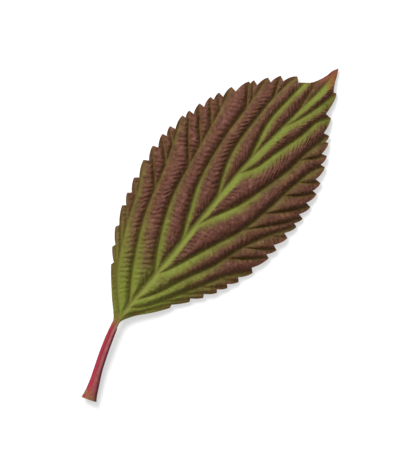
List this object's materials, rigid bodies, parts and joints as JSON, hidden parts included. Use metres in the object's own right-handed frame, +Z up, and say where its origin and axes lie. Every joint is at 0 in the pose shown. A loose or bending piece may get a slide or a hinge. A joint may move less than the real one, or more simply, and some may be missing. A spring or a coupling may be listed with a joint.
{
  "type": "leaf",
  "caption": "Simple oval autumn leaf with a toothed margin, pleated between its pressed-in veins, with its stalk, lying face up.",
  "frame": {"origin": "bottom centre of the leaf's bounding box, on the surface that it rests on", "axes": "+Y from the foot of the blade to its tip, +Z up out of the upper side, +X to the right seen from above"},
  "size_m": [0.0406, 0.1042, 0.0043],
  "materials": {
    "leaf": "satin leaf surface: burgundy pleats, green along the veins, red stalk, paler green underside"
  },
  "bodies": {
    "root": {"leaf": "leaf"}
  },
  "joints": []
}
